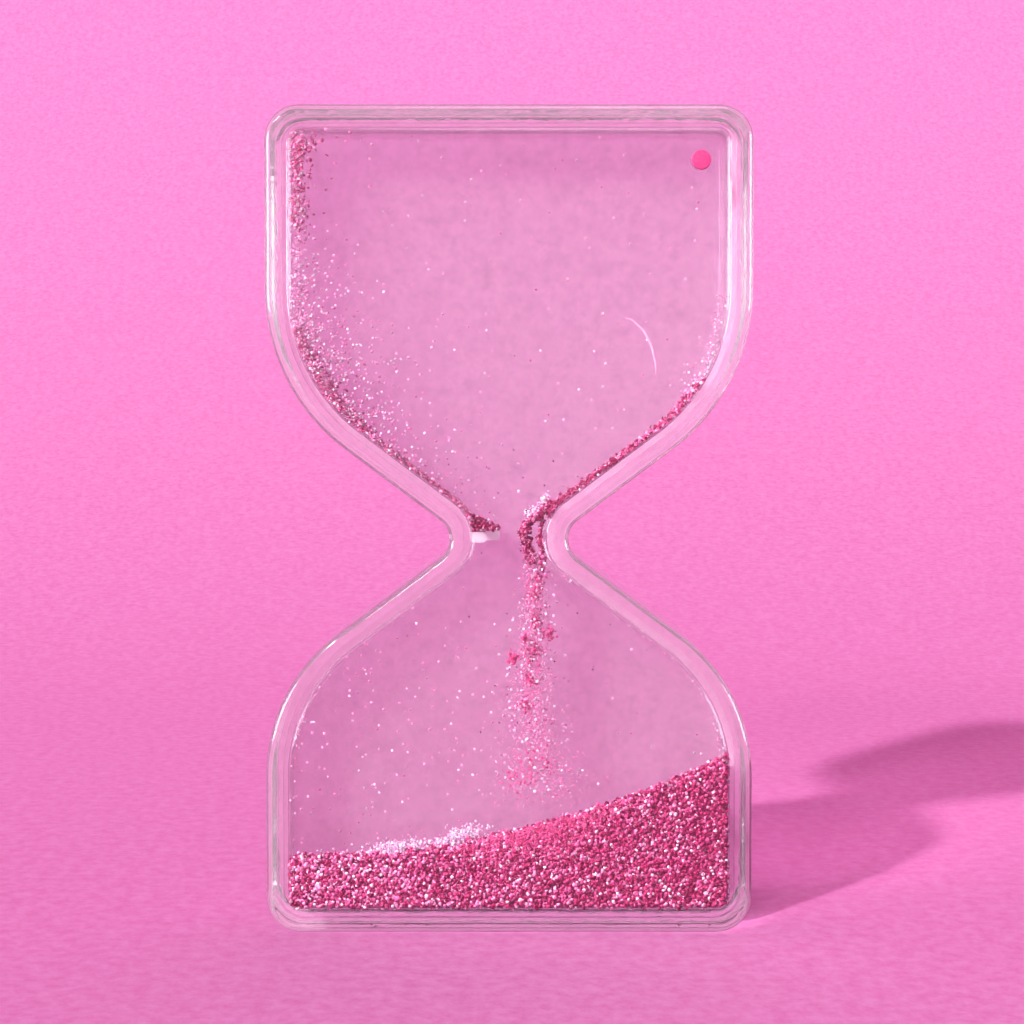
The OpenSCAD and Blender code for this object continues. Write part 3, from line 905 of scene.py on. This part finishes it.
def buildSlopes(look):
    random = np.random.default_rng(31)
    leftFlakes = alongWall(random, -1, look["left"]["layer"], look["left"]["flakes"])
    rightFlakes = alongWall(random, 1, look["right"]["layer"], look["right"]["flakes"])
    pieces = []
    for name, centres, node, kinds in (("leftSlopeFlakes", leftFlakes, "left_slope_glitter", layerKinds),
                                       ("rightSlopeFlakes", rightFlakes, "right_slope_glitter", flakeKinds)):
        # the layers are lighter further up
        lighter = np.clip((centres[:, 2] / mm - 46) / 20, 0, 0.6)
        piece = flakePiece(name, random, centres, pinkFlakes, kinds, size=0.8, lighter=lighter)
        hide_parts(node)
        pieces.append(piece)
    return pieces


slopePieces = buildSlopes(slopeLook)


def buildRibPile():
    # a wedge on the rib: higher at the wall and thin at the rib's end
    random = np.random.default_rng(37)
    low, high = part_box("rib_glitter")
    n = 420
    t = random.power(1.6, n)
    x = high.x - t * (high.x - low.x)
    z = low.z + 0.12 * mm + random.uniform(0, 1, n) * t * (high.z - low.z) * 1.1
    y = random.uniform(caseShape["cavityFrontY"] + 0.2 * mm, caseShape["cavityBackY"] - 0.2 * mm, n)
    piece = flakePiece("ribPileFlakes", random, withinCavity(np.stack([x, y, z], 1), 0.1 * mm),
                       pinkFlakes, flakeKinds)
    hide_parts("rib_glitter")
    return piece


ribPile = buildRibPile()


def buildCorner():
    # dense in the corner and thinner down the wall
    random = np.random.default_rng(41)
    low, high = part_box("corner_glitter")
    centres = alongWall(random, -1, [(low.z / mm, 0.5), (high.z / mm, 0.9)], 340, 0.3)
    n = 190
    x = low.x + random.exponential(1.3, n) * mm
    z = high.z - random.exponential(2.4, n) * mm
    y = random.uniform(caseShape["cavityFrontY"] + 0.2 * mm, caseShape["cavityBackY"] - 0.2 * mm, n)
    centres = np.concatenate([centres, withinCavity(np.stack([x, y, z], 1), 0.15 * mm)])
    piece = flakePiece("cornerFlakes", random, centres, pinkFlakes, layerKinds, size=0.8)
    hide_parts("corner_glitter")
    return piece


cornerFlakes = buildCorner()

# ---------------------------------------------------------------- loose flakes
looseLook = {
    "leftScatter": 1000, "leftReach": 2.7,   # thins out this many mm from the left wall
    "upperAll": 130, "lowerLeft": 170, "lowerAll": 50, "wallsLower": 40, "specks": 60,
}


def buildLoose(look):
    random = np.random.default_rng(47)
    panelY = lambda n: np.where(random.uniform(0, 1, n) < 0.5,
                                caseShape["cavityFrontY"] + 0.2 * mm + random.exponential(0.8, n) * mm,
                                random.uniform(caseShape["cavityFrontY"], caseShape["cavityBackY"], n))
    wall = sidePoints - caseShape["wall"] * sideNormals
    groups = []
    n = look["leftScatter"]
    z = random.normal(58, 6.0, n) * mm
    x = -np.interp(z, wall[:, 1], wall[:, 0]) + random.exponential(look["leftReach"], n) * mm
    groups.append(np.stack([x, panelY(n), z], 1))
    n = look["upperAll"]
    groups.append(np.stack([random.uniform(-23, 20, n) * mm, panelY(n), random.uniform(44, 82, n) * mm], 1))
    n = look["lowerLeft"]
    z = 8 * mm + random.power(0.8, n) * 24 * mm
    groups.append(np.stack([random.uniform(-22, -1, n) * mm, panelY(n), z], 1))
    n = look["lowerAll"]
    groups.append(np.stack([random.uniform(-22, 22, n) * mm, panelY(n), random.uniform(12, 38, n) * mm], 1))
    groups.append(alongWall(random, 1, [(17, 0.5), (37, 0.3)], look["wallsLower"]))
    groups.append(alongWall(random, -1, [(8, 0.5), (34, 0.3)], look["wallsLower"]))
    groups.append(alongWall(random, -1, [(55, 1.0), (76, 0.5)], 320, 0.6))
    groups.append(alongWall(random, 1, [(54, 0.7), (66, 0.4)], 80, 0.4))
    centres = withinCavity(np.concatenate(groups), 0.15 * mm)
    centres = centres[centres[:, 2] > bedSurface(centres[:, 0], centres[:, 1])
                      * (centres[:, 2] < caseShape["neckZ"])]
    kinds = {"pink": (0.35, (0.85, 0.25, 0.5)), "blush": (0.4, (0.93, 0.44, 0.68)), "pearl": (0.25, (0.97, 0.76, 0.90))}
    piece = flakePiece("looseFlakes", random, centres, paleFlakes, kinds, size=0.56, flatten=0.3)
    n = look["specks"]
    x, z = random.normal(2.5, 4.5, n) * mm, random.uniform(20, 50, n) * mm
    specks = withinCavity(np.stack([x, panelY(n), z], 1), 0.15 * mm)
    dark = flakePiece("darkSpecks", random, specks, pinkFlakes, {"deep": (1, (0.10, 0.01, 0.04))}, size=0.42)
    return piece, dark


looseFlakes, darkSpecks = buildLoose(looseLook)

# ---------------------------------------------------------------- pale drifts
driftLook = {
    # middle along X, height above the base, half length, half height, all in mm, slope, and flakes
    "leftDrift": (-11.4, 8.3, 2.9, 0.75, 0.12, 760),
    "middleDrift": (-5.5, 9.2, 2.7, 0.95, 0.35, 800),
    "neckFoam": (2.4, 43.4, 0.6, 0.5, 0.5, 60),
    "neckFoamTop": (3.5, 44.5, 0.7, 0.45, 0.8, 46),
    "slopeFoam": (20.9, 58.3, 0.7, 1.4, 1.2, 80),
}


def buildDrifts(look):
    random = np.random.default_rng(53)
    groups = []
    for x, z, halfX, halfZ, slope, n in look.values():
        off = random.normal(0, 0.5, (2, n))
        z = z + slope * off[0] * halfX
        y = random.uniform(caseShape["cavityFrontY"] + 0.2 * mm, caseShape["cavityFrontY"] + 3 * mm, n)
        groups.append(np.stack([(x + off[0] * halfX) * mm, y, (z + off[1] * halfZ) * mm], 1))
    centres = withinCavity(np.concatenate(groups), 0.12 * mm)
    piece = flakePiece("paleDrifts", random, centres, paleFlakes, paleKinds, size=0.6)
    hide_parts("pale_glitter")
    return piece


paleDrifts = buildDrifts(driftLook)

fibreLook = {
    # a fine pale fibre that floats in the upper bulb: points along it as x and height, in mm
    "path": [(11.9, 63.3), (12.6, 63.1), (13.9, 61.9), (14.7, 60.3), (15.05, 58.6), (15.1, 57.4)],
    "radius": 0.12 * mm,
    "colour": (0.92, 0.46, 0.66),
}


def buildFibre(look):
    # a thin round thread along the path, its radius growing and shrinking as a half sine
    t, a = np.linspace(0, 1, 40), np.linspace(0, 2 * math.pi, 8, endpoint=False)
    path = np.array(look["path"]) * mm
    at = np.linspace(0, 1, len(path))
    centre = np.stack([np.interp(t, at, path[:, 0]), np.interp(t, at, path[:, 1])], 1)
    centre[1:-1] = (centre[:-2] + centre[1:-1] + centre[2:]) / 3
    along = np.gradient(centre, axis=0)
    across = np.stack([along[:, 1], -along[:, 0]], 1) / np.linalg.norm(along, axis=1)[:, None]
    radius = look["radius"] * np.sin(math.pi * t) ** 0.7
    flat = centre[:, None] + across[:, None] * (radius[:, None] * np.cos(a))[..., None]
    y = caseShape["cavityFrontY"] + 0.35 * mm + radius[:, None] * np.sin(a)
    grid = np.stack([flat[..., 0], y, flat[..., 1]], -1)
    piece = meshPiece("paleFibre", [(grid, gridQuads(len(t), len(a), wrap=True))], paleFlakes)
    own = piece.data.color_attributes.new("flakeColour", "FLOAT_COLOR", "POINT")
    own.data.foreach_set("color", np.tile([*look["colour"], 1.0], len(piece.data.vertices)))
    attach(piece, "timer")
    return piece


paleFibre = buildFibre(fibreLook)
print("glitter pieces built")

# ---------------------------------------------------------------- studio
studioLook = {
    "colour": (0.90, 0.315, 0.67), "mottle": (0.83, 0.215, 0.55),
    "drop": 0.0001,  # the floor lies this far below the base, so that the base stays a surface of its own
    "frontReach": 1.5, "backReach": 0.14, "bend": 0.6, "wallTop": 1.2, "halfWidth": 1.8,
}


def sweepMaterial():
    # matt paper with a soft fibre mottle
    material, nodes, links, shader = newMaterial("studioPaper")
    place = nodes.new("ShaderNodeTexCoord")
    fibre = nodes.new("ShaderNodeTexNoise")
    fibre.inputs["Scale"].default_value = 600
    fibre.inputs["Detail"].default_value = 5
    fibre.inputs["Roughness"].default_value = 0.7
    links.new(place.outputs["Object"], fibre.inputs["Vector"])
    clumps = nodes.new("ShaderNodeMapRange")
    clumps.inputs["From Min"].default_value = 0.36
    clumps.inputs["From Max"].default_value = 0.64
    links.new(fibre.outputs["Fac"], clumps.inputs["Value"])
    tone = nodes.new("ShaderNodeMix")
    tone.data_type = "RGBA"
    tone.inputs["A"].default_value = (*studioLook["colour"], 1)
    tone.inputs["B"].default_value = (*studioLook["mottle"], 1)
    links.new(clumps.outputs["Result"], tone.inputs["Factor"])
    links.new(tone.outputs["Result"], shader.inputs["Base Color"])
    bump = nodes.new("ShaderNodeBump")
    bump.inputs["Strength"].default_value = 0.15
    bump.inputs["Distance"].default_value = 0.0005
    links.new(fibre.outputs["Fac"], bump.inputs["Height"])
    links.new(bump.outputs["Normal"], shader.inputs["Normal"])
    shader.inputs["Roughness"].default_value = 0.9
    shader.inputs["Specular IOR Level"].default_value = 0.2
    return material


def buildSweep(look):
    # the floor, a quarter circle and the wall behind, as one profile carried across the width
    a = np.radians(np.linspace(-90, 0, 48))
    bend = np.stack([look["backReach"] + look["bend"] * np.cos(a), look["bend"] * (1 + np.sin(a))], 1)
    ends = [[-look["frontReach"], 0.0], [look["backReach"] + look["bend"], look["wallTop"]]]
    profile = np.concatenate([ends[:1], bend, ends[1:]]) - [0, look["drop"]]
    x = np.linspace(-look["halfWidth"], look["halfWidth"], 9)
    grid = np.stack([np.repeat(x[None], len(profile), 0), np.repeat(profile[:, :1], 9, 1),
                     np.repeat(profile[:, 1:], 9, 1)], -1)
    piece = meshPiece("studioSweep", [(grid, gridQuads(len(profile), 9))], sweepMaterial())
    return piece


studioSweep = buildSweep(studioLook)
for polygon in studioSweep.data.polygons[:1]:
    if polygon.normal.z < 0:
        studioSweep.data.flip_normals()

keyLook = {"towards": (-1.25, -1.45, 1.0), "strength": 2.85, "spread": 3.0, "colour": (1.0, 0.97, 0.97)}
secondLook = {"towards": (-0.75, -1.5, 0.8), "strength": 0.5, "spread": 7.0, "colour": (1.0, 0.97, 0.97)}


def addSun(name, look):
    lamp = bpy.data.lights.new(name, "SUN")
    lamp.energy, lamp.angle, lamp.color = look["strength"], math.radians(look["spread"]), look["colour"]
    holder = bpy.data.objects.new(name, lamp)
    scene.collection.objects.link(holder)
    away = look["towards"]
    holder.rotation_euler = (math.atan2(math.hypot(away[0], away[1]), away[2]), 0,
                             math.atan2(away[0], -away[1]))
    holder.visible_transmission = False  # it reaches inside through the clear parts' own shadow tint instead
    return holder


addSun("key", keyLook)
addSun("second", secondLook)

roomLook = {
    "lighting": (1.0, 0.94, 0.97), "lightingStrength": 0.26,
    "seen": (0.62, 0.24, 0.45), "window": (1.0, 0.86, 0.95),
    # bright windows that only mirrors and clear parts see: direction, edge as a cosine, softness, strength
    "windows": [((-0.87, -0.5, 0.05), 0.96, 0.01, 22.0), ((0.92, -0.38, 0.1), 0.965, 0.01, 18.0),
                ((0.1, -0.45, 0.88), 0.98, 0.005, 5.0), ((-1, 0, 0.1), 0.35, 0.5, 0.6),
                ((1, 0, 0.1), 0.35, 0.5, 0.6), ((0, 1, 0.2), 0.2, 0.5, 0.6)],
    "behind": (0.93, 0.42, 0.72),  # plain colour past the backdrop's edges
}


def buildWorld(look):
    # a dim even light on matt surfaces, and a pale room with windows for all that mirrors or looks through
    world = bpy.data.worlds.new("softStudio")
    world.use_nodes = True
    nodes, links = world.node_tree.nodes, world.node_tree.links
    seen = nodes["Background"]
    seen.inputs["Color"].default_value = (*look["seen"], 1)
    panes = nodes.new("ShaderNodeBackground")
    panes.inputs["Color"].default_value = (*look["window"], 1)
    lit = nodes.new("ShaderNodeBackground")
    lit.inputs["Color"].default_value = (*look["lighting"], 1)
    lit.inputs["Strength"].default_value = look["lightingStrength"]
    place = nodes.new("ShaderNodeTexCoord")
    total = None
    for towards, edge, softness, strength in look["windows"]:
        facing = nodes.new("ShaderNodeVectorMath")
        facing.operation = "DOT_PRODUCT"
        length = math.sqrt(sum(v * v for v in towards))
        facing.inputs[1].default_value = [v / length for v in towards]
        links.new(place.outputs["Generated"], facing.inputs[0])
        pane = nodes.new("ShaderNodeMapRange")
        pane.inputs["From Min"].default_value = edge
        pane.inputs["From Max"].default_value = edge + softness
        pane.inputs["To Max"].default_value = strength
        links.new(facing.outputs["Value"], pane.inputs["Value"])
        added = nodes.new("ShaderNodeMath")
        added.inputs[1].default_value = 0.0
        links.new(pane.outputs["Result"], added.inputs[0])
        if total:
            links.new(total.outputs[0], added.inputs[1])
        total = added
    links.new(total.outputs[0], panes.inputs["Strength"])
    room = nodes.new("ShaderNodeAddShader")
    links.new(seen.outputs[0], room.inputs[0])
    links.new(panes.outputs[0], room.inputs[1])
    behind = nodes.new("ShaderNodeBackground")
    behind.inputs["Color"].default_value = (*look["behind"], 1)
    path = nodes.new("ShaderNodeLightPath")
    either = nodes.new("ShaderNodeMixShader")
    links.new(path.outputs["Diffuse Depth"], either.inputs["Fac"])
    links.new(room.outputs[0], either.inputs[1])
    links.new(lit.outputs[0], either.inputs[2])
    direct = nodes.new("ShaderNodeMixShader")
    links.new(path.outputs["Is Camera Ray"], direct.inputs["Fac"])
    links.new(either.outputs[0], direct.inputs[1])
    links.new(behind.outputs[0], direct.inputs[2])
    links.new(direct.outputs[0], nodes["World Output"].inputs["Surface"])
    world.cycles.sampling_method = "NONE"
    scene.world = world


buildWorld(roomLook)

cameraLook = {
    "distance": 0.190,   # from the front face
    "height": 0.0525,
    "tilt": 1.5,         # degrees downwards
    "shiftY": -0.0395, "shiftX": 0.003,
    "frameWidth": 0.1046,  # what the picture spans at the front face
}


def addCamera(look):
    data = bpy.data.cameras.new("camera")
    data.sensor_width = 36
    data.lens = 36 * look["distance"] / look["frameWidth"]
    data.shift_x, data.shift_y = look["shiftX"], look["shiftY"]
    data.clip_start, data.clip_end = 0.01, 10
    camera = bpy.data.objects.new("camera", data)
    scene.collection.objects.link(camera)
    camera.location = (0.0, caseShape["frontY"] - look["distance"], look["height"])
    camera.rotation_euler = (math.radians(90 - look["tilt"]), 0, 0)
    scene.camera = camera
    return camera


camera = addCamera(cameraLook)
